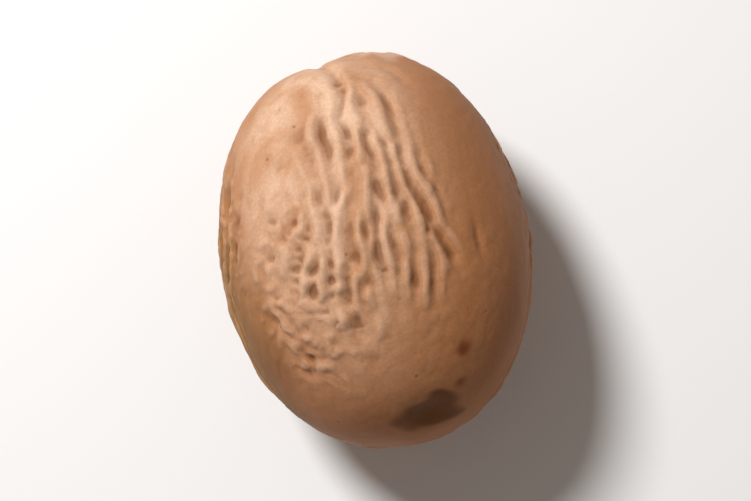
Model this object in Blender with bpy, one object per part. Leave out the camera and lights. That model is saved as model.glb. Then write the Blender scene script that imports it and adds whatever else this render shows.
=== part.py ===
"""Whole nutmeg: one dried seed, lying on its side as it comes to rest on a table.

The seed is a wrinkled egg with its length along Y. Its blunt end, with the hilum boss, points
to +Y, and its narrow end, with the chalaza dimple, to -Y. Furrows left by drying run from end to
end. A small worn flat on the underside carries the seed, and Z is 0 there.

Places on the seed are given as on a globe whose poles are the two ends: longitude in degrees
about the Y axis, 0 at the top and 90 at +X, and latitude in degrees from -90 to +90.
"""

import math
import random
from dataclasses import dataclass

import bmesh
import bpy
import numpy as np

# Driving sizes, in metres
LENGTH = 0.0256
WIDTH = 0.0205
HEIGHT = 0.0197
FLAT_DEPTH = 0.00034  # how much of the underside is worn away

# How far each end is fuller than an ellipsoid's, as a share of the radius there
BLUNT_FULLNESS = 0.22
NARROW_FULLNESS = 0.07

# Facets round the seed and from end to end: furrows run lengthwise, so most facets go round
SEGMENTS = 120
RINGS = 41

MILLIMETRE = 0.001
SHOULDER_SPREAD = 2.1  # a furrow's raised lips reach this many furrow widths to each side
SHOULDER_HEIGHT = 0.3  # and rise by this share of its depth
END_TAPER = 7.0  # degrees of latitude in which a furrow fades out at each end
WOBBLE = 1.5  # degrees by which a furrow wavers to each side of its path
WOBBLE_LENGTH = 38.0  # degrees of latitude from one such bend to the next on the same side
POLE_CLEARANCE = 0.8  # millimetres from the axis within which no furrow is left

SHELL_COLOUR = (0.402, 0.216, 0.112, 1.0)
SHELL_ROUGHNESS = 0.62


@dataclass(frozen=True)
class Furrow:
    """A groove along the seed, from one latitude to another, between two longitudes.

    bow is how far its middle swings sideways, in degrees. width and depth are in millimetres.
    """

    latitudes: tuple
    longitudes: tuple
    bow: float
    width: float
    depth: float


@dataclass(frozen=True)
class Mound:
    """A round swelling, or a dimple where its height is negative. Sizes are in millimetres."""

    latitude: float
    longitude: float
    spread: float
    height: float


# The furrows that divide the upper side, from its left flank to its right
UPPER_FURROWS = (
    Furrow((72, 22), (-62, -44), 3, 0.75, 0.16),
    Furrow((58, 6), (-37, -30), -3, 0.7, 0.18),
    Furrow((90, 50), (-38, -14), 0, 0.65, 0.46),
    Furrow((50, -8), (-25, -15), 3, 0.65, 0.50),
    Furrow((66, 24), (-3, -5), 2, 0.6, 0.38),
    Furrow((22, -26), (-6, -10), 2, 0.6, 0.34),
    Furrow((58, -4), (9, 6), 3, 0.65, 0.46),
    Furrow((70, -12), (24, 30), -4, 0.65, 0.48),
    Furrow((22, -22), (15, 14), 1, 0.6, 0.30),
    Furrow((6, -32), (23, 21), 1, 0.6, 0.30),
    Furrow((2, -32), (37, 34), -2, 0.6, 0.26),
    Furrow((-10, -44), (-2, 4), 3, 0.65, 0.30),
    Furrow((18, -24), (-26, -30), -3, 0.65, 0.32),
    Furrow((16, -10), (43, 50), 2, 0.55, 0.22),
)

# The rest of the seed has furrows at about even spacing. Each one's latitudes and drift are in
# degrees and its width and depth in millimetres, between the limits given here.
LOWER_FURROW_COUNT = 15
LOWER_FURROW_SPAN = (84, 288)
LOWER_FURROW_STARTS = (24, 72)
LOWER_FURROW_LENGTHS = (40, 105)
LOWER_FURROW_LOWEST = -70
LOWER_FURROW_DRIFT = 8
LOWER_FURROW_BOW = 5
LOWER_FURROW_WIDTHS = (0.65, 0.8)
LOWER_FURROW_DEPTHS = (0.2, 0.46)

HILUM = Mound(latitude=78, longitude=70, spread=2.2, height=0.46)
HILUM_PIT = Mound(latitude=78, longitude=70, spread=0.7, height=-0.5)
CHALAZA = Mound(latitude=-60, longitude=15, spread=1.5, height=-0.42)
RIGHT_LOBE = Mound(latitude=58, longitude=78, spread=3.4, height=0.14)
LEFT_LOBE = Mound(latitude=64, longitude=-48, spread=3.0, height=0.14)
NOTCH = Mound(latitude=86, longitude=-90, spread=1.2, height=-0.6)
MOUNDS = (HILUM, HILUM_PIT, CHALAZA, RIGHT_LOBE, LEFT_LOBE, NOTCH)

# Broad unevenness: height in millimetres, waves round the seed, waves along it, and a phase
SWELLS = ((0.10, 2, 1.0, 0.4), (0.08, 3, -1.5, 1.9), (0.06, 5, 2.0, 3.6))


def clear_scene():
    """Removes the objects of the scene that the script is run in."""
    for item in list(bpy.data.objects):
        bpy.data.objects.remove(item, do_unlink=True)


def egg_points(directions):
    """Points of the smooth egg in the given unit directions, in metres, about its middle."""
    end = directions[:, 1]
    fullness = np.where(end > 0, BLUNT_FULLNESS, NARROW_FULLNESS)
    swell = 1 + fullness * end**4
    return np.column_stack(
        (
            directions[:, 0] * swell * WIDTH / 2,
            end * LENGTH / 2,
            directions[:, 2] * swell * HEIGHT / 2,
        )
    )


def direction_at(latitude, longitude):
    """The unit direction of a place on the seed, as a row of x, y and z."""
    lat, lon = math.radians(latitude), math.radians(longitude)
    ring = math.cos(lat)
    return np.array([[ring * math.sin(lon), math.sin(lat), ring * math.cos(lon)]])


def smooth_step(share):
    """0 below 0, 1 above 1, and an even rise between them."""
    share = np.clip(share, 0, 1)
    return share * share * (3 - 2 * share)


def furrow_relief(furrow, latitude, longitude, ring_radius):
    """Height of one furrow and its lips at each point, in metres."""
    start, end = furrow.latitudes
    share = np.clip((latitude - start) / (end - start), 0, 1)
    first, last = furrow.longitudes
    centre = first + (last - first) * share + furrow.bow * np.sin(math.pi * share)
    centre += WOBBLE * np.sin(2 * math.pi * latitude / WOBBLE_LENGTH + first)
    aside = np.radians((longitude - centre + 180) % 360 - 180) * ring_radius
    width = furrow.width * MILLIMETRE
    groove = np.exp(-((aside / width) ** 2))
    lips = np.exp(-((np.abs(aside) / width - SHOULDER_SPREAD) ** 2))
    low, high = min(start, end), max(start, end)
    fade = smooth_step(0.5 + np.minimum(latitude - low, high - latitude) / END_TAPER)
    fade *= smooth_step(ring_radius / (POLE_CLEARANCE * MILLIMETRE) - 1)
    return furrow.depth * MILLIMETRE * fade * (SHOULDER_HEIGHT * lips - groove)


def mound_relief(mound, points):
    """Height of one swelling or dimple at each point, in metres."""
    centre = egg_points(direction_at(mound.latitude, mound.longitude))
    distance = np.linalg.norm(points - centre, axis=1)
    spread = mound.spread * MILLIMETRE
    return mound.height * MILLIMETRE * np.exp(-((distance / spread) ** 2))


def swell_relief(latitude, longitude):
    """Height of the broad unevenness at each point, in metres."""
    around, along = np.radians(longitude), np.radians(latitude)
    height = sum(
        high * np.cos(round_waves * around + long_waves * along + phase)
        for high, round_waves, long_waves, phase in SWELLS
    )
    return height * MILLIMETRE * np.cos(along)


def lower_furrows():
    """The furrows of the flanks and the underside, evenly spread with some unevenness."""
    dice = random.Random(7)
    first, last = LOWER_FURROW_SPAN
    step = (last - first) / (LOWER_FURROW_COUNT - 1)
    furrows = []
    for number in range(LOWER_FURROW_COUNT):
        longitude = first + number * step + dice.uniform(-0.25, 0.25) * step
        start = dice.uniform(*LOWER_FURROW_STARTS)
        end = max(start - dice.uniform(*LOWER_FURROW_LENGTHS), LOWER_FURROW_LOWEST)
        drift = dice.uniform(-LOWER_FURROW_DRIFT, LOWER_FURROW_DRIFT)
        furrows.append(
            Furrow(
                (start, end),
                (longitude - drift, longitude + drift),
                dice.uniform(-LOWER_FURROW_BOW, LOWER_FURROW_BOW),
                dice.uniform(*LOWER_FURROW_WIDTHS),
                dice.uniform(*LOWER_FURROW_DEPTHS),
            )
        )
    return furrows


def rest_fade(points):
    """0 on the worn flat, where no furrow is left, rising to 1 a little above it."""
    height = (points[:, 2] + HEIGHT / 2) / FLAT_DEPTH
    return smooth_step((height - 1) / 2)


def wrinkled_points(directions):
    """Points of the finished surface in the given unit directions, about its middle."""
    points = egg_points(directions)
    latitude = np.degrees(np.arcsin(np.clip(directions[:, 1], -1, 1)))
    longitude = np.degrees(np.arctan2(directions[:, 0], directions[:, 2]))
    ring_radius = np.hypot(points[:, 0], points[:, 2])
    relief = swell_relief(latitude, longitude)
    for mound in MOUNDS:
        relief += mound_relief(mound, points)
    furrows = sum(
        furrow_relief(furrow, latitude, longitude, ring_radius)
        for furrow in (*UPPER_FURROWS, *lower_furrows())
    )
    relief += furrows * rest_fade(points)
    outward = directions / np.array([WIDTH, LENGTH, HEIGHT])
    outward /= np.linalg.norm(outward, axis=1)[:, None]
    return points + outward * relief[:, None]


def rounded_seed():
    """The wrinkled egg as an object, made from a ball whose poles are the seed's two ends."""
    bpy.ops.mesh.primitive_uv_sphere_add(segments=SEGMENTS, ring_count=RINGS, radius=1)
    seed = bpy.context.object
    seed.name = "nutmeg"
    shell = seed.data
    shell.name = "nutmeg"
    ball = np.empty(len(shell.vertices) * 3)
    shell.vertices.foreach_get("co", ball)
    x, y, z = ball.reshape(-1, 3).T
    directions = np.column_stack((x, z, -y))  # the ball's poles turned from Z to Y
    directions /= np.linalg.norm(directions, axis=1)[:, None]
    shell.vertices.foreach_set("co", wrinkled_points(directions).ravel())
    shell.update()
    return seed


def wear_flat(seed):
    """Cuts the worn flat on the underside, and puts the seed on it with its box centred."""
    shell = bmesh.new()
    shell.from_mesh(seed.data)
    cut = bmesh.ops.bisect_plane(
        shell,
        geom=shell.verts[:] + shell.edges[:] + shell.faces[:],
        dist=1e-7,
        plane_co=(0, 0, FLAT_DEPTH - HEIGHT / 2),
        plane_no=(0, 0, -1),
        clear_outer=True,
    )
    rim = [item for item in cut["geom_cut"] if isinstance(item, bmesh.types.BMEdge)]
    bmesh.ops.contextual_create(shell, geom=rim)
    places = np.array([vertex.co for vertex in shell.verts])
    middle = (places.min(0) + places.max(0)) / 2
    shift = (-middle[0], -middle[1], -places[:, 2].min())
    bmesh.ops.translate(shell, verts=shell.verts, vec=shift)
    bmesh.ops.recalc_face_normals(shell, faces=shell.faces)
    shell.to_mesh(seed.data)
    shell.free()


def dried_seed_material():
    """Dry, woody seed coat: mid brown and dull."""
    material = bpy.data.materials.new("dried_seed_coat")
    material.use_nodes = True
    shader = material.node_tree.nodes["Principled BSDF"]
    shader.inputs["Base Color"].default_value = SHELL_COLOUR
    shader.inputs["Roughness"].default_value = SHELL_ROUGHNESS
    shader.inputs["Metallic"].default_value = 0.0
    return material


def main():
    """Builds the nutmeg in a collection of its own."""
    clear_scene()
    seed = rounded_seed()
    wear_flat(seed)
    seed.data.materials.append(dried_seed_material())
    seed.data.shade_smooth()
    parts = bpy.data.collections.new("whole_nutmeg")
    bpy.context.scene.collection.children.link(parts)
    for holder in list(seed.users_collection):
        holder.objects.unlink(seed)
    parts.objects.link(seed)


main()
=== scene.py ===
"""Looks of the whole nutmeg: one dried, wrinkled seed lying on a pale table in soft light.

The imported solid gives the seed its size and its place. A finer skin stands for it here. It is the
same egg with the same lobes and long furrows, and finer wrinkles then grow over it in the way a
seed coat folds when the kernel under it dries: ridges push up at an even spacing, link up with the
long furrows, and fade out where the coat stayed tight.

Places on the seed are given as on a globe whose poles are its two ends. Longitude is in degrees
about the Y axis, 0 on top and 90 at +X, and latitude is in degrees from -90 to +90 at the +Y end.
"""

from __future__ import annotations

import logging
import math
import random
from dataclasses import dataclass, field
from enum import Enum

import bpy
import numpy as np
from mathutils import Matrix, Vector

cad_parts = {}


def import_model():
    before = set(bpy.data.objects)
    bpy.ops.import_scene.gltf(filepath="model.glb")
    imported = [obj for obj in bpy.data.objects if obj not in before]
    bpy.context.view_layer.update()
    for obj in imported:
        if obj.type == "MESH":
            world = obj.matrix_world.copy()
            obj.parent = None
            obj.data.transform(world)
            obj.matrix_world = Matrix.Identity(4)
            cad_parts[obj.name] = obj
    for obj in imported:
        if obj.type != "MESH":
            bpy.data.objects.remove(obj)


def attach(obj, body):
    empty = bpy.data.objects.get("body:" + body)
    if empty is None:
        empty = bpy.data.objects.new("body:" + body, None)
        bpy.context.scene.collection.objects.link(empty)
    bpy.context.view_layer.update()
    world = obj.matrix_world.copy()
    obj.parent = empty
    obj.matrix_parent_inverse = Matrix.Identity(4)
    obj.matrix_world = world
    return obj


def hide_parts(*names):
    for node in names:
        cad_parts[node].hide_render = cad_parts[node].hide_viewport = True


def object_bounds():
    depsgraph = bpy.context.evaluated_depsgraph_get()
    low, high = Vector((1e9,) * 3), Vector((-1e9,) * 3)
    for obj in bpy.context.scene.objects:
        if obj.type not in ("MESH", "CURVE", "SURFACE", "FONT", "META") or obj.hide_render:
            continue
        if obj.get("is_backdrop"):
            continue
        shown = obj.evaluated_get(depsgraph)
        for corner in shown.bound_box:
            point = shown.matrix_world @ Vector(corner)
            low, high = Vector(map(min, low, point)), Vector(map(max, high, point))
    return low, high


log = logging.getLogger("nutmeg")

MM = 0.001


class Trace(Enum):
    """What the skin's mesh remembers of its making, for the finish to read at each point."""

    HOLLOW = "hollow"
    SCAR = "scar"
    HILUM = "hilum"
    STAIN = "stain"


def linear_colour(sheet: str) -> tuple[float, float, float, float]:
    """Turns an sRGB hex colour into the linear values that a node takes.

    Args:
        sheet: The colour as six hex digits.

    Returns:
        Red, green, blue and a full alpha.
    """
    parts = [int(sheet[place : place + 2], 16) / 255 for place in (0, 2, 4)]
    red, green, blue = (
        part / 12.92 if part <= 0.04045 else ((part + 0.055) / 1.055) ** 2.4 for part in parts
    )
    return red, green, blue, 1.0


def smooth_step(share: np.ndarray) -> np.ndarray:
    """Rises evenly from 0 at 0 to 1 at 1, and stays there."""
    share = np.clip(share, 0, 1)
    return share * share * (3 - 2 * share)


@dataclass(frozen=True)
class Furrow:
    """A groove that runs through several places, deepest in its middle.

    path holds latitude and longitude in degrees. width and depth are in millimetres.
    """

    path: tuple[tuple[float, float], ...]
    width: float
    depth: float

    run_out = 1.2
    end_share = 0.3

    def share(self, egg: Egg, points: np.ndarray) -> np.ndarray:
        """Works out how much of the groove is felt at each point, with its ends run out.

        Args:
            egg: The egg that the path runs over.
            points: Points of the egg, in metres.

        Returns:
            Shares from 0, well beside the groove, to 1, in its middle.
        """
        knots = np.array([egg.at(*place) for place in self.path])
        spans = np.linalg.norm(np.diff(knots, axis=0), axis=1)
        travelled = np.concatenate(([0], np.cumsum(spans)))
        nearest = np.full(len(points), 1.0)
        way = np.zeros(len(points))
        for number, (start, end) in enumerate(zip(knots, knots[1:])):
            along = np.clip((points - start) @ (end - start) / spans[number] ** 2, 0, 1)
            gap = np.linalg.norm(points - start - along[:, None] * (end - start), axis=1)
            closer = gap < nearest
            nearest = np.where(closer, gap, nearest)
            way = np.where(closer, travelled[number] + along * spans[number], way)
        run_out = min(self.run_out * MM, travelled[-1] / 2)
        ends = smooth_step(np.minimum(way, travelled[-1] - way) / run_out)
        across = np.exp(-((nearest / (self.width * MM)) ** 2))
        return across * (self.end_share + (1 - self.end_share) * ends)


@dataclass(frozen=True)
class FlankFurrows:
    """The long furrows of the flanks and the underside, the same ones as the solid has.

    They are about evenly spread, each with its own start, length, drift and bow in degrees, and
    its own width and depth in millimetres, between the limits given here.
    """

    count: int = 15
    span: tuple[float, float] = (84, 288)
    starts: tuple[float, float] = (24, 72)
    lengths: tuple[float, float] = (40, 105)
    lowest: float = -70
    drift: float = 8
    bow: float = 5
    widths: tuple[float, float] = (0.65, 0.8)
    depths: tuple[float, float] = (0.2, 0.46)
    wobble: float = 1.5
    wobble_length: float = 38.0
    seed: int = 7

    narrowing = 0.62
    stops = 14

    def furrows(self) -> list[Furrow]:
        """Lays the furrows out, each as a line of close stops.

        Returns:
            The furrows in order round the seed.
        """
        dice = random.Random(self.seed)
        step = (self.span[1] - self.span[0]) / (self.count - 1)
        made = []
        for number in range(self.count):
            middle = self.span[0] + number * step + dice.uniform(-0.25, 0.25) * step
            start = dice.uniform(*self.starts)
            end = max(start - dice.uniform(*self.lengths), self.lowest)
            drift = dice.uniform(-self.drift, self.drift)
            bow = dice.uniform(-self.bow, self.bow)
            width = dice.uniform(*self.widths) * self.narrowing
            depth = dice.uniform(*self.depths)
            path = []
            for stop in range(self.stops + 1):
                share = stop / self.stops
                latitude = start + (end - start) * share
                turn = 2 * math.pi * latitude / self.wobble_length + middle - drift
                aside = bow * math.sin(math.pi * share) + self.wobble * math.sin(turn)
                path.append((latitude, middle + drift * (2 * share - 1) + aside))
            made.append(Furrow(tuple(path), width, depth))
        return made


@dataclass(frozen=True)
class Mound:
    """A round swelling, or a dimple where its height is negative. Sizes are in millimetres."""

    latitude: float
    longitude: float
    spread: float
    height: float


@dataclass(frozen=True)
class Patch:
    """A stretch of coat that wrinkled more, or less, than the rest. Its reaches are in degrees."""

    latitude: float
    longitude: float
    reach_along: float
    reach_round: float
    wrinkling: float

    def share(self, skin: Skin) -> np.ndarray:
        """Works out how much of the patch is felt at each point of a skin, from 0 to 1."""
        along = (skin.latitude - self.latitude) / self.reach_along
        aside = ((skin.longitude - self.longitude + 180) % 360 - 180) / self.reach_round
        return np.exp(-((along**2 + aside**2) ** 1.5))


@dataclass(frozen=True)
class Stain:
    """A red-brown spot on the coat. Its reach is in millimetres, and its strength is a share."""

    latitude: float
    longitude: float
    reach: float
    strength: float


@dataclass(frozen=True)
class Swell:
    """A long, low wave of the whole form, with its height in millimetres."""

    height: float
    round_waves: float
    along_waves: float
    start: float


@dataclass(frozen=True)
class Egg:
    """The seed's plain form before it wrinkled: an egg with one blunter end, in metres."""

    length: float = 0.0256
    width: float = 0.0205
    height: float = 0.0197
    blunt_fullness: float = 0.22
    narrow_fullness: float = 0.07

    def points(self, ball: np.ndarray) -> np.ndarray:
        """Takes points of a unit ball to the egg.

        Args:
            ball: One point of the ball in each row.

        Returns:
            The egg's points, in metres, in the same order.
        """
        end = ball[:, 1]
        swell = 1 + np.where(end > 0, self.blunt_fullness, self.narrow_fullness) * end**4
        return np.column_stack(
            (
                ball[:, 0] * swell * self.width / 2,
                end * self.length / 2,
                ball[:, 2] * swell * self.height / 2,
            )
        )

    def outward(self, ball: np.ndarray) -> np.ndarray:
        """Gives the directions straight out of the egg at points of the unit ball."""
        out = ball / np.array([self.width, self.length, self.height])
        return out / np.linalg.norm(out, axis=1)[:, None]

    def at(self, latitude: float, longitude: float) -> np.ndarray:
        """Finds the point of the egg at a place.

        Args:
            latitude: Its latitude in degrees.
            longitude: Its longitude in degrees.

        Returns:
            The point, in metres.
        """
        up, around = math.radians(latitude), math.radians(longitude)
        ball = [math.cos(up) * math.sin(around), math.sin(up), math.cos(up) * math.cos(around)]
        return self.points(np.array([ball]))[0]


SHOWN_FURROWS = (
    Furrow(((50, -3), (66, -6), (80, -30), (85, -90), (80, -145), (66, -160)), 0.50, 0.30),
    Furrow(((58, -2), (49, -2), (44, -4), (39, -5), (36, -3), (31, -2), (28, -2)), 0.38, 0.24),
    Furrow(((30, -2), (28, -2), (25, -4), (26, -7)), 0.36, 0.19),
    Furrow(((47, -10), (40, -12), (34, -13), (29, -11), (24, -13)), 0.42, 0.15),
    Furrow(((50, 4), (45, 5), (40, 6)), 0.49, 0.27),
    Furrow(((36, 9), (35, 6), (32, 4), (29, 4), (26, 5), (22, 6), (20, 7)), 0.38, 0.24),
    Furrow(((18, 6), (14, 5), (9, 6)), 0.40, 0.22),
    Furrow(((33, 9), (28, 12), (26, 13)), 0.34, 0.16),
    Furrow(((49, 16), (42, 19), (36, 19), (31, 18), (26, 17), (21, 16), (17, 16)), 0.39, 0.15),
    Furrow(((19, 16), (14, 17), (11, 19), (8, 20), (4, 21), (0, 22)), 0.38, 0.21),
    Furrow(((2, 21), (-4, 24), (-7, 27), (-11, 29)), 0.42, 0.25),
    Furrow(((-1, 18), (0, 22)), 0.31, 0.17),
    Furrow(((17, 13), (11, 15), (8, 15), (6, 14), (1, 16)), 0.33, 0.15),
    Furrow(((21, -8), (20, -5), (19, -1)), 0.65, 0.14),
    Furrow(((24, 2), (22, 3)), 0.34, 0.13),
    Furrow(((24, 22), (23, 26)), 0.52, 0.07),
    Furrow(((42, -25), (32, -25)), 0.55, 0.12),
    Furrow(((47, -37), (36, -35)), 0.59, 0.10),
    Furrow(((31, 12), (28, 17)), 0.36, 0.14),
    Furrow(((23, 12), (21, 17)), 0.38, 0.15),
    Furrow(((13, 9), (10, 14)), 0.36, 0.14),
    Furrow(((8, 21), (11, 26)), 0.36, 0.12),
    Furrow(((3, 9), (1, 14)), 0.34, 0.10),
    Furrow(((37, 1), (34, 4)), 0.34, 0.12),
    Furrow(((13, -9), (11, -4)), 0.36, 0.12),
    Furrow(((57, 1), (58, 9), (55, 15), (50, 17)), 0.42, 0.12),
    Furrow(((63, 6), (66, 18), (63, 30), (56, 33), (48, 32)), 0.55, 0.13),
    Furrow(((31, -20), (25, -19), (20, -18), (15, -18), (11, -16)), 0.39, 0.20),
    Furrow(((14, -17), (11, -16), (7, -15), (4, -15), (0, -16)), 0.36, 0.19),
    Furrow(((19, -10), (16, -10), (13, -12), (11, -13)), 0.36, 0.22),
    Furrow(((10, -7), (6, -7), (1, -8), (-3, -8), (-7, -9)), 0.47, 0.21),
    Furrow(((8, -2), (4, -2), (-1, -2)), 0.42, 0.15),
    Furrow(((13, 1), (9, 3), (6, 3), (0, 2), (-5, 1), (-9, 1)), 0.38, 0.20),
    Furrow(((-7, 1), (-9, 1)), 0.44, 0.17),
    Furrow(((3, 6), (-4, 9)), 0.36, 0.09),
    Furrow(((-10, -2), (-12, -8)), 0.33, 0.14),
    Furrow(((-11, -12), (-15, -13), (-18, -13)), 0.52, 0.24),
    Furrow(((-17, -13), (-20, -12), (-25, -13), (-29, -11)), 0.44, 0.19),
    Furrow(((-5, 20), (-10, 19), (-14, 18), (-20, 19)), 0.39, 0.15),
    Furrow(((-9, 12), (-16, 11)), 0.36, 0.10),
    Furrow(((-16, 3), (-24, 4)), 0.44, 0.07),
    Furrow(((4, 38), (-2, 37), (-9, 40)), 0.34, 0.13),
    Furrow(((4, -25), (0, -28), (-3, -30)), 0.39, 0.17),
    Furrow(((0, -20), (-3, -22), (-5, -25), (-6, -30)), 0.34, 0.12),
    Furrow(((6, -24), (4, -25)), 0.31, 0.11),
    Furrow(((9, -29), (7, -31)), 0.34, 0.15),
    Furrow(((12, -26), (9, -28)), 0.31, 0.14),
    Furrow(((5, -38), (-2, -41)), 0.80, 0.09),
    Furrow(((30, -31), (25, -31)), 0.60, 0.12),
    Furrow(((-9, -16), (-8, -19)), 0.47, 0.11),
    Furrow(((-10, -24), (-10, -27)), 0.36, 0.15),
    Furrow(((-14, -24), (-17, -25)), 0.44, 0.20),
    Furrow(((-20, -21), (-21, -20)), 0.39, 0.18),
    Furrow(((-19, -30), (-19, -33)), 0.34, 0.13),
    Furrow(((-12, -50), (-14, -46), (-17, -42)), 0.34, 0.17),
    Furrow(((-15, -38), (-19, -36)), 0.36, 0.11),
    Furrow(((-26, -38), (-28, -37), (-30, -34)), 0.42, 0.15),
    Furrow(((-31, -42), (-34, -40), (-35, -37)), 0.42, 0.11),
    Furrow(((-29, -46), (-33, -45)), 0.34, 0.10),
    Furrow(((-24, -39), (-26, -39)), 0.34, 0.11),
    Furrow(((-27, -30), (-28, -27)), 0.36, 0.11),
    Furrow(((-5, -56), (-7, -55)), 0.44, 0.09),
    Furrow(((16, -39), (13, -37), (12, -33)), 0.38, 0.10),
    Furrow(((16, -57), (12, -54)), 0.42, 0.25),
    Furrow(((7, -61), (6, -56)), 0.52, 0.28),
    Furrow(((24, -56), (18, -55)), 0.40, 0.20),
    Furrow(((25, -67), (17, -66)), 0.42, 0.26),
    Furrow(((14, -66), (8, -66)), 0.40, 0.22),
)

SHOWN_RIDGES = (
    Furrow(((49, 2), (44, 0), (38, 1)), 0.35, 0.07),
    Furrow(((51, 9), (47, 12), (43, 14), (37, 12), (32, 14), (29, 16)), 0.38, 0.11),
    Furrow(((40, 2), (37, 3), (33, 2), (28, 1), (24, 0), (20, 2), (16, 2)), 0.25, 0.11),
    Furrow(((31, 7), (29, 8), (25, 9), (19, 10), (15, 9), (10, 9)), 0.34, 0.14),
    Furrow(((42, -20), (36, -18), (28, -16), (22, -15), (17, -14), (13, -14)), 0.35, 0.12),
    Furrow(((27, -9), (23, -10)), 0.30, 0.09),
    Furrow(((17, -5), (12, -9), (10, -11), (7, -12), (2, -13), (-4, -13)), 0.33, 0.14),
    Furrow(((10, -4), (5, -4), (-2, -5), (-7, -6)), 0.28, 0.14),
    Furrow(((11, 13), (7, 11), (2, 11), (-3, 12), (-5, 13)), 0.31, 0.14),
    Furrow(((26, 20), (21, 19)), 0.35, 0.11),
    Furrow(((13, 23), (8, 24)), 0.38, 0.13),
    Furrow(((-3, 18), (-7, 17), (-13, 15), (-19, 14)), 0.40, 0.11),
    Furrow(((-2, 22), (-10, 23), (-17, 22)), 0.35, 0.07),
    Furrow(((8, -25), (7, -29)), 0.33, 0.12),
    Furrow(((3, -23), (-1, -25)), 0.33, 0.11),
    Furrow(((-7, -26), (-8, -28)), 0.33, 0.11),
    Furrow(((-10, -31), (-12, -32)), 0.35, 0.09),
    Furrow(((-16, -32), (-18, -34)), 0.35, 0.09),
    Furrow(((-21, -33), (-23, -32)), 0.35, 0.09),
    Furrow(((-22, -29), (-23, -27)), 0.35, 0.09),
    Furrow(((-17, -16), (-23, -18)), 0.35, 0.11),
    Furrow(((-26, -35), (-25, -37)), 0.28, 0.09),
    Furrow(((-28, -33), (-31, -34)), 0.30, 0.07),
    Furrow(((-13, -41), (-16, -39)), 0.30, 0.07),
    Furrow(((-23, -4), (-28, -6)), 0.33, 0.05),
    Furrow(((7, -42), (3, -44)), 0.38, 0.05),
    Furrow(((10, -57), (8, -55)), 0.33, 0.09),
    Furrow(((4, -57), (2, -55)), 0.33, 0.09),
)

HILUM = Mound(latitude=78, longitude=70, spread=2.2, height=0.46)
HILUM_PIT = Mound(latitude=78, longitude=70, spread=0.55, height=-0.7)
CHALAZA = Mound(latitude=-60, longitude=15, spread=1.5, height=-0.42)
RIGHT_LOBE = Mound(latitude=58, longitude=78, spread=3.4, height=0.14)
LEFT_LOBE = Mound(latitude=64, longitude=-48, spread=3.0, height=0.14)
NOTCH = Mound(latitude=86, longitude=-90, spread=1.2, height=-0.6)
RIGHT_FLANK = Mound(latitude=16, longitude=56, spread=5.6, height=-0.26)
MOUNDS = (
    HILUM,
    HILUM_PIT,
    CHALAZA,
    RIGHT_LOBE,
    LEFT_LOBE,
    NOTCH,
    RIGHT_FLANK,
)

PATCHES = (
    Patch(36, 4, 46, 26, 0.7),
    Patch(8, -22, 34, 26, 0.65),
    Patch(2, 16, 26, 16, 0.45),
    Patch(-22, -20, 20, 26, 0.25),
    Patch(14, -66, 26, 14, 0.5),
    Patch(40, -50, 28, 22, -0.35),
    Patch(10, 52, 64, 24, -0.8),
    Patch(-68, 0, 24, 80, -0.5),
    Patch(66, -120, 30, 60, 0.5),
    Patch(72, 120, 26, 50, 0.4),
    Patch(-62, 180, 34, 90, 0.55),
    Patch(-62, -105, 26, 40, 0.45),
    Patch(-60, 105, 28, 40, 0.5),
)
PEBBLED = (
    Patch(-6, -34, 22, 20, 1.0),
    Patch(-26, -28, 14, 18, 0.9),
    Patch(16, -66, 22, 14, 0.8),
    Patch(-20, 150, 30, 24, 0.8),
    Patch(40, -130, 24, 22, 0.7),
)


STAINS = (
    Stain(-36, 29, 0.65, 1.0),
    Stain(-47, 30, 0.5, 0.9),
    Stain(-33, 25, 0.3, 0.5),
    Stain(-27, 60, 2.4, 0.3),
    Stain(-30, -58, 2.4, 0.45),
    Stain(-56, -22, 2.4, 0.35),
    Stain(-28, -36, 0.9, 0.3),
    Stain(37, -25, 0.8, 0.25),
    Stain(14, -55, 0.6, 0.5),
    Stain(6, -58, 0.8, 0.6),
    Stain(21, -66, 0.9, 0.4),
    Stain(-9, -50, 1.4, 0.25),
)


SWELLS = (Swell(0.10, 2, 1.0, 0.4), Swell(0.08, 3, -1.5, 1.9), Swell(0.06, 5, 2.0, 3.6))


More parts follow.
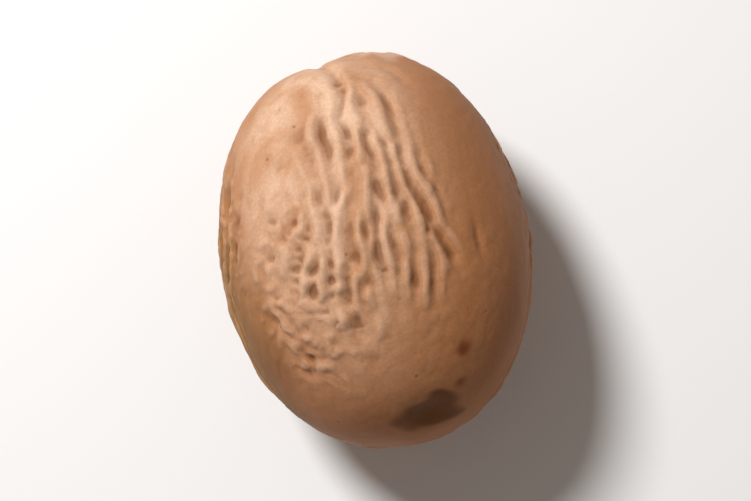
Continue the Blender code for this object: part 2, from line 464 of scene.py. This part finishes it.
@dataclass
class Fabric:
    """The skin's mesh as the wrinkles feel it: each point's neighbours and how hard they pull.

    A stretch over 1 makes the pull along the seed stronger than the pull round it, so what spreads
    over the fabric grows longer than it is wide.
    """

    neighbours: np.ndarray
    pulls: np.ndarray

    @staticmethod
    def of(
        mesh: bpy.types.Mesh, points: np.ndarray, outward: np.ndarray, stretch: float = 1.0
    ) -> Fabric:
        """Works out the pulls from the sizes of the mesh's quads.

        Args:
            mesh: The skin's mesh, all quads.
            points: Where its points lie, in metres.
            outward: The direction out of the skin at each point.
            stretch: How much stronger the pull along the seed is.

        Returns:
            The fabric.
        """
        count = len(points)
        ends = np.empty(len(mesh.edges) * 2, np.int32)
        mesh.edges.foreach_get("vertices", ends)
        ends = ends.reshape(-1, 2)
        corners = np.empty(len(mesh.loops), np.int32)
        mesh.loops.foreach_get("vertex_index", corners)
        sides = np.empty(len(mesh.loops), np.int32)
        mesh.loops.foreach_get("edge_index", sides)

        quads = points[corners.reshape(-1, 4)]
        across = np.cross(quads[:, 2] - quads[:, 0], quads[:, 3] - quads[:, 1])
        area = np.repeat(np.linalg.norm(across, axis=1) / 2, 4)
        point_area = np.bincount(corners, area / 4, count)
        edge_area = np.bincount(sides, area, len(ends))

        span = points[ends[:, 1]] - points[ends[:, 0]]
        reach = np.linalg.norm(span, axis=1)
        normal = outward[ends].mean(axis=1)
        lengthwise = np.array([0, 1.0, 0]) - normal * normal[:, 1:2]
        lengthwise /= np.linalg.norm(lengthwise, axis=1)[:, None] + 1e-9
        along = (np.einsum("ij,ij->i", span, lengthwise) / reach) ** 2
        weight = edge_area / (2 * reach**2) * (1 + (stretch - 1) * along)

        start = np.concatenate((ends[:, 0], ends[:, 1]))
        other = np.concatenate((ends[:, 1], ends[:, 0]))
        weight = np.concatenate((weight, weight))
        order = np.argsort(start, kind="stable")
        start, other, weight = start[order], other[order], weight[order]
        slot = np.arange(len(start)) - np.searchsorted(start, np.arange(count))[start]
        neighbours = np.repeat(np.arange(count)[:, None], 4, axis=1)
        pulls = np.zeros((count, 4))
        neighbours[start, slot] = other
        pulls[start, slot] = weight / point_area[start]
        return Fabric(neighbours, pulls)

    def spread(
        self, value: np.ndarray, reach: float, local: np.ndarray | float = 1.0
    ) -> np.ndarray:
        """Blurs a value over the skin.

        Args:
            value: The value at each point.
            reach: How far it spreads, in metres.
            local: How freely it spreads at each point, 1 being fully.

        Returns:
            The blurred value at each point.
        """
        total = self.pulls.sum(axis=1)
        longest_step = 0.5 / total.max()
        rounds = max(1, math.ceil(reach**2 / (2 * longest_step)))
        step = reach**2 / (2 * rounds)
        shares = self.pulls * (step * np.broadcast_to(local, total.shape))[:, None]
        kept = 1 - shares.sum(axis=1)
        for _ in range(rounds):
            value = kept * value + np.einsum("ij,ij->i", shares, value[self.neighbours])
        return value


@dataclass
class Skin:
    """The coat's points before they wrinkle. Each array has a row for each point of the mesh."""

    mesh: bpy.types.Mesh
    egg: Egg
    points: np.ndarray
    outward: np.ndarray
    latitude: np.ndarray
    longitude: np.ndarray
    fabric: Fabric

    @staticmethod
    def of(mesh: bpy.types.Mesh, egg: Egg) -> Skin:
        """Lays the points of a cube's mesh evenly over the egg.

        Args:
            mesh: A cube from -1 to 1, cut into small quads.
            egg: The egg.

        Returns:
            The skin.
        """
        cube = np.empty(len(mesh.vertices) * 3)
        mesh.vertices.foreach_get("co", cube)
        evened = np.tan(cube.reshape(-1, 3) * math.pi / 4)
        ball = evened / np.linalg.norm(evened, axis=1)[:, None]
        points, outward = egg.points(ball), egg.outward(ball)
        latitude = np.degrees(np.arcsin(np.clip(ball[:, 1], -1, 1)))
        longitude = np.degrees(np.arctan2(ball[:, 0], ball[:, 2]))
        fabric = Fabric.of(mesh, points, outward)
        return Skin(mesh, egg, points, outward, latitude, longitude, fabric)

    def stretched(self, stretch: float) -> Fabric:
        """Gives the fabric with its pull along the seed made stronger."""
        return Fabric.of(self.mesh, self.points, self.outward, stretch)

    def gap(self, spot: Mound | Stain) -> np.ndarray:
        """Measures how far each point is from a spot's middle, in millimetres."""
        middle = self.egg.at(spot.latitude, spot.longitude)
        return np.linalg.norm(self.points - middle, axis=1) / MM

    def noise(self, dice: np.random.Generator, width: float) -> np.ndarray:
        """Rolls smooth noise that spreads over about width millimetres, with a deviation of 1."""
        value = self.fabric.spread(dice.standard_normal(len(self.points)), width * MM)
        return value / value.std()

    def keep(self, trace: Trace, values: np.ndarray) -> None:
        """Stores one value for each point in the mesh under the trace's name."""
        layer = self.mesh.attributes.new(trace.value, "FLOAT", "POINT")
        layer.data.foreach_set("value", values.astype(np.float32))


@dataclass
class Chance:
    """The coat's chance variations, which keep it from looking ruled.

    Each is smooth noise of the width given in millimetres where it is rolled.
    """

    wander: np.ndarray
    broken: np.ndarray
    patchy: np.ndarray
    uneven: np.ndarray
    pebbles: np.ndarray
    ragged: np.ndarray
    creases: np.ndarray
    lumps: np.ndarray

    @staticmethod
    def roll(skin: Skin, seed: int) -> Chance:
        """Rolls all of them, always in the same order.

        Args:
            skin: The skin that they lie on.
            seed: The seed of the dice.

        Returns:
            The variations.
        """
        dice = np.random.default_rng(seed)
        return Chance(
            wander=np.column_stack([skin.noise(dice, 0.9) for _ in range(3)]) * 0.28 * MM,
            broken=smooth_step(0.5 + 0.4 * skin.noise(dice, 0.8)),
            patchy=skin.noise(dice, 2.2),
            uneven=skin.noise(dice, 1.3),
            pebbles=np.tanh(skin.noise(dice, 0.24)),
            ragged=skin.noise(dice, 0.5) * 0.35,
            creases=skin.noise(dice, 0.42),
            lumps=np.tanh(skin.noise(dice, 0.4)),
        )


@dataclass(frozen=True)
class Shrinkage:
    """How strongly the coat wrinkles from place to place, 1 being the usual strength."""

    shown_side: float = 0.62
    back: float = 0.55
    back_patchiness: float = 0.35
    patchiness: float = 0.16
    patch_strength: float = 0.95
    limits: tuple[float, float] = (0.3, 1.6)

    def drive(self, skin: Skin, chance: Chance) -> np.ndarray:
        """Works out the strength at each point.

        Args:
            skin: The skin.
            chance: The coat's chance variations.

        Returns:
            The strength.
        """
        behind = smooth_step((np.abs(skin.longitude) - 60) / 30)
        behind *= np.cos(np.radians(skin.latitude)) ** 0.3
        drive = self.shown_side + behind * (self.back + self.back_patchiness * chance.patchy)
        for patch in PATCHES:
            drive += self.patch_strength * patch.wrinkling * patch.share(skin)
        return np.clip(drive + self.patchiness * chance.patchy, *self.limits)


@dataclass(frozen=True)
class Wrinkling:
    """How ridges grow on the coat. Each ridge keeps others off by pressing the coat beside it down.

    spacing is the distance between ridges in millimetres, and the stretches say how much longer
    than wide a ridge and its pressed-down sides grow. hold is how firmly furrows keep ridges out.
    """

    spacing: float = 1.18
    stretch: float = 4.0
    far_stretch: float = 2.9
    rounds: int = 16
    hold: float = 1.1
    fullness: float = 0.15
    unevenness: float = 0.35
    seed: int = 5

    start_height = 0.6
    narrow_reach = 0.175
    wide_reach = 0.28
    best_answer = 0.333

    def grow(
        self, skin: Skin, drive: np.ndarray, furrowed: np.ndarray, uneven: np.ndarray
    ) -> np.ndarray:
        """Grows the ridges from small chance bumps.

        Args:
            skin: The skin that they grow on.
            drive: How strongly the coat wrinkles at each point, with 1 as the usual.
            furrowed: The furrows already there, from 0 to 1, and ridges as values under 0.
            uneven: Chance variation of the spacing, with a deviation of 1.

        Returns:
            The height at each point, from -1 in a valley to 1 on a ridge.
        """
        drawn, slack = skin.stretched(self.stretch), skin.stretched(self.far_stretch)
        freely = np.exp(self.unevenness * np.clip(uneven, -2, 2)) * 0.8
        freely = np.clip(freely, 0.3, 1.6)
        dice = np.random.default_rng(self.seed)
        ridge = self.start_height * dice.standard_normal(len(drive)) - furrowed
        narrow = self.narrow_reach * self.spacing * MM
        rest = math.sqrt(self.wide_reach**2 - self.narrow_reach**2) * self.spacing * MM
        for _ in range(self.rounds):
            near = drawn.spread(ridge, narrow, freely)
            far = slack.spread(near, rest, freely)
            push = drive / self.best_answer * (near - far)
            ridge = np.tanh(push - self.hold * furrowed + self.fullness)
        return drawn.spread(ridge, 0.4 * narrow)


Link = bpy.types.NodeSocket
Setting = float | tuple[float, ...] | Link


def add_node(
    tree: bpy.types.NodeTree,
    kind: str,
    wires: dict[str | int, Setting],
    out: str | int = 0,
    **settings: object,
) -> Link:
    """Adds a node, sets it up and wires it.

    Args:
        tree: The material's nodes.
        kind: The node's type name.
        wires: For each input, by name or number, a value or the output that feeds it.
        out: The output that is wanted, by name or number.
        settings: The node's own properties.

    Returns:
        The output.
    """
    node = tree.nodes.new(kind)
    for name, value in settings.items():
        setattr(node, name, value)
    for name, value in wires.items():
        if isinstance(value, bpy.types.NodeSocket):
            tree.links.new(value, node.inputs[name])
        else:
            node.inputs[name].default_value = value
    return node.outputs[out]


class Pattern(Enum):
    """What decides where a tint lies."""

    CLOUD = "wide clouds"
    BLOTCH = "small blotches"
    GRAIN = "fine grain"
    # Painted shade: the coat turns darker red-brown the farther it lies from the lit upper left.
    PAINTED_SHADE_AWAY_FROM_LIGHT = "clouded distance from the fair upper left"
    # Painted shade: olive-brown darkening on the left flank.
    PAINTED_SHADE_LEFT_FLANK = "clouded distance from the olive left flank"
    PORE = "pores"
    HOLLOW = Trace.HOLLOW.value
    SCAR = Trace.SCAR.value
    HILUM = Trace.HILUM.value
    STAIN = Trace.STAIN.value


@dataclass(frozen=True)
class Tint:
    """A colour laid over the coat.

    Its share goes from 0 where its pattern is at start to strength where it is at end.
    """

    colour: str
    pattern: Pattern
    start: float
    end: float
    strength: float


@dataclass(frozen=True)
class DriedSeedCoat:
    """Dry seed coat of a nutmeg: brown, woody and unglazed, as it is when the mace is peeled off.

    To the eye it is a dull, faintly waxy brown, paler on the ridges, partly from rubbing and partly
    as a painted highlight, and darker in the furrows, partly its own colour and partly painted
    shade. It is clouded with red-brown, painted darker and redder away from the lit upper left and
    olive-brown on the left flank as painted shade, and peppered with pores. Widths, spacings and
    places are in millimetres. The grain is about twice as coarse as the real one, so that it shows.
    """

    ground: str = "B38462"
    tints: tuple[Tint, ...] = (
        Tint("D0AC90", Pattern.CLOUD, 0.38, 0.62, 1.0),
        Tint("A26A40", Pattern.BLOTCH, 0.5, 0.68, 0.28),
        # Painted shade: red-brown deepening away from the lit upper left.
        Tint("A26A40", Pattern.PAINTED_SHADE_AWAY_FROM_LIGHT, 7.5, 14.0, 0.9),
        # Painted shade: olive-brown on the left flank.
        Tint("7F5A2C", Pattern.PAINTED_SHADE_LEFT_FLANK, 7.0, 3.0, 0.72),
        Tint("6F381B", Pattern.STAIN, 0.0, 1.1, 0.95),
        Tint("CDA991", Pattern.HILUM, 0.0, 1.0, 0.7),
        # Darker in the hollows: partly the coat's own darker furrows, partly painted shade.
        Tint("6E4222", Pattern.HOLLOW, 0.02, 0.16, 0.72),
        # Paler on the ridges: partly rubbed wear, partly a painted highlight.
        Tint("D0AC90", Pattern.HOLLOW, -0.01, -0.07, 0.27),
        Tint("6E4222", Pattern.GRAIN, 0.62, 0.4, 0.12),
        Tint("6A3E22", Pattern.PORE, 0.0, 1.0, 0.45),
        Tint("663B10", Pattern.SCAR, 0.0, 1.0, 0.9),
    )
    cloud_width: float = 4.5
    blotch_width: float = 1.1
    grain_width: float = 0.2
    drawn_out: float = 0.45
    pore_spacing: float = 1.7
    pore_edge: tuple[float, float] = (0.11, 0.03)
    pores_chosen: tuple[float, float] = (0.45, 0.75)
    # Painted shade fades in away from this lit place above the upper left; the cloudiness breaks up
    # its edge.
    lit_place: tuple[float, float, float] = (-2.5, 7.5, 17.0)
    painted_shade_cloudiness: float = 9.0
    # Painted shade is strongest near this place on the left flank.
    shaded_flank_place: tuple[float, float, float] = (-15.0, -3.5, 10.0)
    shaded_flank_cloudiness: float = -6.0
    grain_height: float = 0.35
    bump_depth: float = 0.04
    roughness: tuple[float, float] = (0.47, 0.6)
    specular: float = 0.1

    def material(self) -> bpy.types.Material:
        """Makes the material.

        Returns:
            The material, which reads Object coordinates and the skin's traces.
        """
        material = bpy.data.materials.new("dried_seed_coat")
        material.use_nodes = True
        tree = material.node_tree
        shader = tree.nodes["Principled BSDF"]
        patterns = self.patterns(tree)

        colour: Setting = linear_colour(self.ground)
        for tint in self.tints:
            share = add_node(
                tree,
                "ShaderNodeMapRange",
                {0: patterns[tint.pattern], 1: tint.start, 2: tint.end, 3: 0.0, 4: tint.strength},
                interpolation_type="SMOOTHSTEP",
            )
            layers = {0: share, 6: colour, 7: linear_colour(tint.colour)}
            colour = add_node(tree, "ShaderNodeMix", layers, out=2, data_type="RGBA")
        tree.links.new(colour, shader.inputs["Base Color"])

        grain = patterns[Pattern.GRAIN]
        grainy = {0: grain, 1: self.grain_height}
        grainy = add_node(tree, "ShaderNodeMath", grainy, operation="MULTIPLY")
        pitted = {0: grainy, 1: patterns[Pattern.PORE]}
        pitted = add_node(tree, "ShaderNodeMath", pitted, operation="SUBTRACT")
        relief = {"Height": pitted, "Strength": 0.5, "Distance": self.bump_depth * MM}
        bump = add_node(tree, "ShaderNodeBump", relief)
        tree.links.new(bump, shader.inputs["Normal"])

        smooth, rough = self.roughness
        sheen = {0: grain, 1: 0.3, 2: 0.7, 3: smooth, 4: rough}
        worn = add_node(tree, "ShaderNodeMapRange", sheen)
        tree.links.new(worn, shader.inputs["Roughness"])
        shader.inputs["Specular IOR Level"].default_value = self.specular
        return material

    def patterns(self, tree: bpy.types.NodeTree) -> dict[Pattern, Link]:
        """Makes every pattern that a tint can follow.

        Args:
            tree: The material's nodes.

        Returns:
            The output that carries each pattern.
        """
        place = add_node(tree, "ShaderNodeTexCoord", {}, out="Object")
        in_mm = add_node(
            tree, "ShaderNodeVectorMath", {0: place, "Scale": 1 / MM}, operation="SCALE"
        )
        lengthwise = {"Vector": in_mm, "Scale": (1.0, self.drawn_out, 1.0)}
        drawn = add_node(tree, "ShaderNodeMapping", lengthwise)
        made: dict[Pattern, Link] = {}
        for pattern, over, width, detail, warp in (
            (Pattern.CLOUD, drawn, self.cloud_width, 4.0, 0.6),
            (Pattern.BLOTCH, drawn, self.blotch_width, 3.0, 0.3),
            (Pattern.GRAIN, in_mm, self.grain_width, 3.0, 0.0),
        ):
            wires = {"Vector": over, "Scale": 1 / width, "Detail": detail, "Distortion": warp}
            made[pattern] = add_node(tree, "ShaderNodeTexNoise", wires)

        # Distances from the lit upper left and from the left flank, clouded, for the painted shade.
        for pattern, centre, cloudiness in (
            (Pattern.PAINTED_SHADE_AWAY_FROM_LIGHT, self.lit_place, self.painted_shade_cloudiness),
            (Pattern.PAINTED_SHADE_LEFT_FLANK, self.shaded_flank_place, self.shaded_flank_cloudiness),
        ):
            along = {0: drawn, 1: (centre[0], centre[1] * self.drawn_out, centre[2])}
            away = add_node(tree, "ShaderNodeVectorMath", along, "Value", operation="DISTANCE")
            clouded = {0: made[Pattern.CLOUD], 1: cloudiness, 2: away}
            made[pattern] = add_node(tree, "ShaderNodeMath", clouded, operation="MULTIPLY_ADD")

        cells = {"Vector": in_mm, "Scale": 1 / self.pore_spacing}
        ranges = []
        for out, (start, end) in (("Color", self.pores_chosen), ("Distance", self.pore_edge)):
            found = add_node(tree, "ShaderNodeTexVoronoi", cells, out=out)
            limits = {0: found, 1: start, 2: end}
            ranges.append(
                add_node(tree, "ShaderNodeMapRange", limits, interpolation_type="SMOOTHSTEP")
            )
        pair = {0: ranges[0], 1: ranges[1]}
        made[Pattern.PORE] = add_node(tree, "ShaderNodeMath", pair, operation="MULTIPLY")

        for trace in Trace:
            remembered = add_node(
                tree, "ShaderNodeAttribute", {}, out="Fac", attribute_name=trace.value
            )
            made[Pattern(trace.value)] = remembered
        return made


@dataclass(frozen=True)
class Folds:
    """The furrows and ridges drawn on the coat, at each point.

    carved and raised are in millimetres. furrowed is 1 where a furrow holds the coat down, and
    under 0 where a ridge holds it up.
    """

    carved: np.ndarray
    raised: np.ndarray
    furrowed: np.ndarray


@dataclass
class SeedCoat:
    """The wrinkled brown coat of the seed, one closed skin. Heights here are in millimetres."""

    low: Vector
    high: Vector
    egg: Egg = field(default_factory=Egg)
    shrinkage: Shrinkage = field(default_factory=Shrinkage)
    wrinkling: Wrinkling = field(default_factory=Wrinkling)
    finish: DriedSeedCoat = field(default_factory=DriedSeedCoat)
    cells: int = 120
    seed: int = 2
    flat_depth: float = 0.34
    shown_wander: float = 0.45
    full_depth: float = 0.3
    furrow_share: float = 1.15
    full_ridge: float = 0.12
    ridge_share: float = 1.3
    ridge_hold: float = 0.6
    wrinkle_height: float = 0.22
    pebble_height: float = 0.08
    crease_depth: float = 0.09
    crease_width: float = 0.3
    lump_height: float = 0.055
    ray_height: float = 0.05
    ray_count: int = 9
    ray_reach: float = 1.9
    ray_spread: float = 1.1
    hollow_width: float = 0.35

    def build(self) -> bpy.types.Object:
        """Models the coat, dresses it and puts it in the solid's place.

        Returns:
            The coat.
        """
        coat = self.form()
        skin = Skin.of(coat.data, self.egg)
        self.shape(skin)
        coat.data.materials.append(self.finish.material())
        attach(coat, "root")
        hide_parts("nutmeg")
        log.info("%s: %d points", coat.name, len(coat.data.vertices))
        return coat

    def form(self) -> bpy.types.Object:
        """Cuts a cube into small quads, which the skin then lays over the egg.

        Returns:
            The cube, from -1 to 1, named as the coat.
        """
        bpy.ops.object.select_all(action="DESELECT")
        bpy.ops.mesh.primitive_cube_add(size=2)
        coat = bpy.context.object
        coat.name = "seed_coat"
        coat.data.name = "seed_coat"
        bpy.ops.object.mode_set(mode="EDIT")
        bpy.ops.mesh.select_all(action="SELECT")
        bpy.ops.mesh.subdivide(number_cuts=1)
        bpy.ops.mesh.subdivide(number_cuts=self.cells // 2 - 1)
        bpy.ops.object.mode_set(mode="OBJECT")
        return coat

    def shape(self, skin: Skin) -> None:
        """Swells, furrows and wrinkles the skin, and keeps what the finish reads.

        Args:
            skin: The skin as it lies on the plain egg.
        """
        chance = Chance.roll(skin, self.seed)
        folds = self.fold(skin, chance)
        above_floor = (skin.points[:, 2] + self.egg.height / 2) / MM
        fade = smooth_step((above_floor / self.flat_depth - 1) / 2)
        fine = self.wrinkle(skin, chance, folds) * fade
        self.settle(skin, self.swell(skin) + fine)
        self.remember(skin, chance, fine)

    def swell(self, skin: Skin) -> np.ndarray:
        """Adds up the long waves and the mounds.

        Args:
            skin: The skin.

        Returns:
            Their height at each point.
        """
        around, along = np.radians(skin.longitude), np.radians(skin.latitude)
        height = np.zeros(len(skin.points))
        for wave in SWELLS:
            turn = wave.round_waves * around + wave.along_waves * along + wave.start
            height += wave.height * np.cos(turn) * np.cos(along)
        for mound in MOUNDS:
            height += mound.height * np.exp(-((skin.gap(mound) / mound.spread) ** 2))
        return height

    def fold(self, skin: Skin, chance: Chance) -> Folds:
        """Draws the furrows and ridges, each a little off its line and broken along its length.

        Args:
            skin: The skin.
            chance: The coat's chance variations.

        Returns:
            The folds.
        """
        near = skin.points + self.shown_wander * chance.wander
        far = skin.points + chance.wander
        furrows = [(furrow, near, 0.3) for furrow in SHOWN_FURROWS]
        furrows += [(furrow, far, 0.5) for furrow in FlankFurrows().furrows()]
        carved, raised, furrowed = np.zeros((3, len(skin.points)))
        for furrow, places, brokenness in furrows:
            groove = furrow.share(self.egg, places) * (1 - brokenness * (1 - chance.broken))
            carved = np.maximum(carved, furrow.depth * groove)
            furrowed = np.maximum(furrowed, min(1.0, furrow.depth / self.full_depth) * groove)
        for ridge in SHOWN_RIDGES:
            raised = np.maximum(raised, ridge.depth * ridge.share(self.egg, near))
        raised *= (1 - furrowed) * (0.4 + 0.6 * chance.broken)
        return Folds(carved, raised, furrowed - self.ridge_hold * raised / self.full_ridge)

    def wrinkle(self, skin: Skin, chance: Chance, folds: Folds) -> np.ndarray:
        """Grows the fine wrinkles and adds pebbles, creases, lumps and the folds to them.

        Args:
            skin: The skin.
            chance: The coat's chance variations.
            folds: The furrows and ridges.

        Returns:
            The height of the fine forms at each point.
        """
        drive = self.shrinkage.drive(skin, chance)
        ridge = (self.wrinkling.grow(skin, drive, folds.furrowed, chance.uneven) + 1) / 2
        strength = np.clip((drive - 0.45) / 0.75, 0.1, 1.25) * (0.5 + 0.5 * chance.broken)
        pebbled = sum(patch.wrinkling * patch.share(skin) for patch in PEBBLED)
        pebbled = np.clip(pebbled, 0, 1)
        creased = np.exp(-((chance.creases / self.crease_width) ** 2))

        fine = self.wrinkle_height * (ridge**1.3 - 0.6) * strength
        fine += self.pebble_height * chance.pebbles * (0.12 + 0.2 * strength + 0.88 * pebbled)
        fine -= self.crease_depth * creased * (0.1 + 0.25 * strength + 0.45 * pebbled)
        fine += self.lump_height * chance.lumps * strength * (0.3 + 0.7 * ridge)
        fine += self.ridge_share * folds.raised - self.furrow_share * folds.carved
        return fine + self.rays(skin, chance)

    def rays(self, skin: Skin, chance: Chance) -> np.ndarray:
        """Makes the weak ridges that run out from the hilum on all sides.

        Args:
            skin: The skin.
            chance: The coat's chance variations.

        Returns:
            Their height at each point.
        """
        from_boss = skin.points - self.egg.at(HILUM.latitude, HILUM.longitude)
        turn = np.arctan2(from_boss[:, 2], from_boss[:, 0])
        turn += 0.35 * np.sin(2 * turn + 1) + 0.3 * chance.wander[:, 0] / MM
        ring = np.exp(-(((skin.gap(HILUM) - self.ray_reach) / self.ray_spread) ** 2))
        return self.ray_height * np.cos(self.ray_count * turn) * ring * (0.2 + 0.8 * chance.broken)

    def settle(self, skin: Skin, height: np.ndarray) -> None:
        """Moves the points out to their heights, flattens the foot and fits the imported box.

        Args:
            skin: The skin.
            height: How far each point stands out from the egg.
        """
        points = skin.points + skin.outward * height[:, None] * MM
        points[:, 2] = np.maximum(points[:, 2], self.flat_depth * MM - self.egg.height / 2)
        low, high = points.min(axis=0), points.max(axis=0)
        scale = (np.array(self.high) - np.array(self.low)) / (high - low)
        log.info("fitted to the packed box: %s", np.round(scale, 4))
        points = np.array(self.low) + (points - low) * scale
        skin.mesh.vertices.foreach_set("co", points.ravel())
        skin.mesh.update()
        skin.mesh.shade_smooth()

    def remember(self, skin: Skin, chance: Chance, fine: np.ndarray) -> None:
        """Keeps the skin's hollows, scar, hilum and stains for the finish.

        Args:
            skin: The skin.
            chance: The coat's chance variations.
            fine: The height of the fine forms at each point.
        """
        skin.keep(Trace.HOLLOW, skin.fabric.spread(fine, self.hollow_width * MM) - fine)
        for trace, spot, reach, edge in (
            (Trace.SCAR, CHALAZA, 1.2, 1.0),
            (Trace.HILUM, HILUM, 1.5, 1.3),
        ):
            outside = (skin.gap(spot) + chance.ragged - reach) / edge
            skin.keep(trace, np.clip(1 - outside, 0, 1))
        stained = np.zeros(len(skin.points))
        for stain in STAINS:
            gap = skin.gap(stain) + 0.4 * chance.ragged
            stained = np.maximum(stained, stain.strength * np.exp(-((gap / stain.reach) ** 2)))
        skin.keep(Trace.STAIN, stained)


@dataclass(frozen=True)
class PaleTable:
    """A plain pale table top, matt laminate, which catches a soft shadow."""

    colour: str = "E6E6E6"
    roughness: float = 0.75

    def material(self) -> bpy.types.Material:
        """Makes the material.

        Returns:
            The material.
        """
        material = bpy.data.materials.new("matt_pale_laminate")
        material.use_nodes = True
        shader = material.node_tree.nodes["Principled BSDF"]
        shader.inputs["Base Color"].default_value = linear_colour(self.colour)
        shader.inputs["Roughness"].default_value = self.roughness
        return material


@dataclass(frozen=True)
class Softbox:
    """A round, soft studio lamp. Its place is in metres from the middle of the seed."""

    name: str
    place: tuple[float, float, float]
    size: float
    watts: float
    colour: str


@dataclass
class Studio:
    """The table, the lamps and the camera round the seed.

    Lengths are in metres, the lens is in millimetres and the camera's place is in degrees.
    """

    middle: Vector
    table_width: float = 1.2
    table_gap: float = 0.00002
    azimuth: float = -11.3
    elevation: float = 86.0
    lens: float = 120.0
    distance: float = 0.163
    room_light: float = 0.23
    room_colour: str = "FFF1E6"
    lamps: tuple[Softbox, ...] = (
        Softbox("key_light", (-0.100, 0.157, 0.238), 0.08, 1.13, "FFFFFF"),
    )

    def lay_table(self) -> None:
        """Puts the table under the seed, with a hair's gap."""
        bpy.ops.object.select_all(action="DESELECT")
        bpy.ops.mesh.primitive_plane_add(size=self.table_width, location=(0, 0, -self.table_gap))
        table = bpy.context.object
        table.name = "table"
        table.data.materials.append(PaleTable().material())
        table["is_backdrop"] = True

    def hang_lamps(self) -> None:
        """Hangs the lamps and sets the light of the room."""
        for lamp in self.lamps:
            light = bpy.data.lights.new(lamp.name, "AREA")
            light.shape = "DISK"
            light.size = lamp.size
            light.energy = lamp.watts
            light.color = linear_colour(lamp.colour)[:3]
            holder = bpy.data.objects.new(lamp.name, light)
            self.aim(holder, Vector(lamp.place))
        room = bpy.data.worlds.new("studio_room")
        room.use_nodes = True
        air = room.node_tree.nodes["Background"]
        air.inputs["Color"].default_value = linear_colour(self.room_colour)
        air.inputs["Strength"].default_value = self.room_light
        bpy.context.scene.world = room
        bpy.context.scene.view_settings.view_transform = "Standard"

    def place_camera(self) -> None:
        """Looks down on the seed, with its blunt end up and leaning a little to the left."""
        camera = bpy.data.cameras.new("camera")
        camera.lens = self.lens
        camera.clip_start = 0.005
        holder = bpy.data.objects.new("camera", camera)
        turn, rise = math.radians(self.azimuth), math.radians(self.elevation)
        back = Vector(
            (math.sin(turn) * math.cos(rise), -math.cos(turn) * math.cos(rise), math.sin(rise))
        )
        self.aim(holder, back * self.distance)
        bpy.context.scene.camera = holder

    def aim(self, holder: bpy.types.Object, offset: Vector) -> None:
        """Puts a lamp or a camera round the seed and turns it to the seed's middle.

        Args:
            holder: The lamp's or camera's object.
            offset: Its place from the seed's middle.
        """
        holder.location = self.middle + offset
        holder.rotation_mode = "QUATERNION"
        holder.rotation_quaternion = (-offset).to_track_quat("-Z", "Y")
        bpy.context.scene.collection.objects.link(holder)


def main() -> None:
    """Builds the seed and its studio, and notes the sizes."""
    logging.basicConfig(level=logging.INFO)
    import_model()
    low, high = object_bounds()
    SeedCoat(low, high).build()
    studio = Studio((low + high) / 2)
    studio.lay_table()
    studio.hang_lamps()
    studio.place_camera()


if __name__ == "__main__":
    main()
